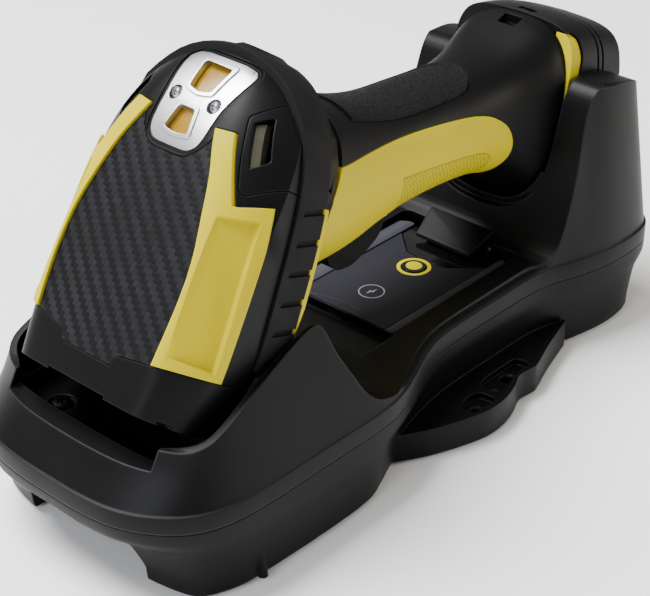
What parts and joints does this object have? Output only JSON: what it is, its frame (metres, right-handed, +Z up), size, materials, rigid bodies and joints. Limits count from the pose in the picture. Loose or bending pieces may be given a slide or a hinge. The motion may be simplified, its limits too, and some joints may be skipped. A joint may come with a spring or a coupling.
{
  "type": "handheld barcode scanner with charging cradle",
  "caption": "Pistol-grip handheld code scanner with guarded head and trigger, seated nose down in a long desktop cradle that charges it through a coil.",
  "frame": {"origin": "on the ground plane under the middle of the whole box", "axes": "+X from the nose of the cradle to its tower, +Z up, Y across it; the plane Y = 0 is the middle plane"},
  "size_m": [0.257, 0.1112, 0.1425],
  "materials": {
    "black_abs": "fine grained moulded",
    "black_soft": "soft touch",
    "yellow_pc": "satin moulded",
    "twill": "woven pattern under a clear coat",
    "metal": "satin",
    "amber": "translucent",
    "lens": "translucent",
    "label": "printed film",
    "strip": "satin moulded",
    "board": "solder mask",
    "copper": "enamelled wire",
    "ferrite": "sintered",
    "glass": "polished",
    "steel": "plated",
    "cell": "shrink sleeve"
  },
  "bodies": {
    "cradle": {"cradle_upper_shell": "black_abs", "cradle_lower_shell": "black_abs", "label_plate": "label", "label_strip_left": "strip", "label_strip_right": "strip", "status_panel": "glass", "retaining_pin": "steel", "cradle_board": "board", "link_switch": "black_abs", "charging_coil": "copper", "coil_ferrite": "ferrite", "power_inlet": "black_abs", "rubber_foot_1": "black_soft", "rubber_foot_2": "black_soft", "rubber_foot_3": "black_soft", "rubber_foot_4": "black_soft", "pocket_screw_left": "steel", "pocket_screw_right": "steel"},
    "scanner": {"battery_cap": "black_abs", "battery_contacts": "copper", "battery_pack": "cell", "beeper": "black_abs", "cap_collar": "yellow_pc", "front_grip": "yellow_pc", "grip_pad": "black_soft", "handle_shell": "black_abs", "head_chassis": "black_abs", "head_frame": "black_abs", "illumination_board": "board", "illumination_led_1": "lens", "illumination_led_2": "lens", "illumination_led_3": "lens", "illumination_led_4": "lens", "imager_lens": "glass", "imager_module": "black_abs", "indicator_light_guide": "amber", "main_board": "board", "nose_bezel": "black_abs", "plate_screw_left": "steel", "plate_screw_right": "steel", "rear_plate": "metal", "receiver_coil": "copper", "rubber_band": "black_soft", "scan_window": "glass", "sensor_board": "board", "side_cover_left": "black_abs", "side_cover_right": "black_abs", "side_guard_left": "yellow_pc", "side_guard_right": "yellow_pc", "side_lens_left": "lens", "side_lens_right": "lens", "top_cover": "twill", "trigger_board": "board", "trigger_pin": "steel", "trigger_switch": "black_abs", "vibration_motor": "steel"},
    "trigger_lever": {"trigger": "black_soft"},
    "switch_plunger_body": {"switch_plunger": "steel"},
    "link_button_body": {"link_button": "yellow_pc"},
    "retaining_tab_body": {"retaining_tab": "black_abs"}
  },
  "joints": [
    {"name": "scanner_lift", "type": "slide", "parent": "cradle", "child": "scanner", "axis": [0, 0, 1], "range_m": [0, 0.13]},
    {"name": "trigger_pull", "type": "hinge", "parent": "scanner", "child": "trigger_lever", "pos_m": [0.0089, 0, 0.071], "axis": [0, 1, 0], "range_deg": [0, 5], "stiffness_Nm_per_rad": 0.4, "springref_deg": -8.59},
    {"name": "switch_press", "type": "slide", "parent": "scanner", "child": "switch_plunger_body", "axis": [0, 0, 1], "range_m": [0, 0.0016]},
    {"name": "button_press", "type": "slide", "parent": "cradle", "child": "link_button_body", "axis": [0, 0, -1], "range_m": [0, 0.0008], "stiffness_N_per_m": 400, "springref_m": -0.002},
    {"name": "tab_tilt", "type": "hinge", "parent": "cradle", "child": "retaining_tab_body", "pos_m": [0.0643, 0, 0.035], "axis": [0, 1, 0], "range_deg": [-5, 0], "stiffness_Nm_per_rad": 0.4, "springref_deg": 8.59}
  ],
  "couplings": [
    {"joint": "switch_press", "follows": "trigger_pull", "m_per_rad": 0.0174}
  ]
}
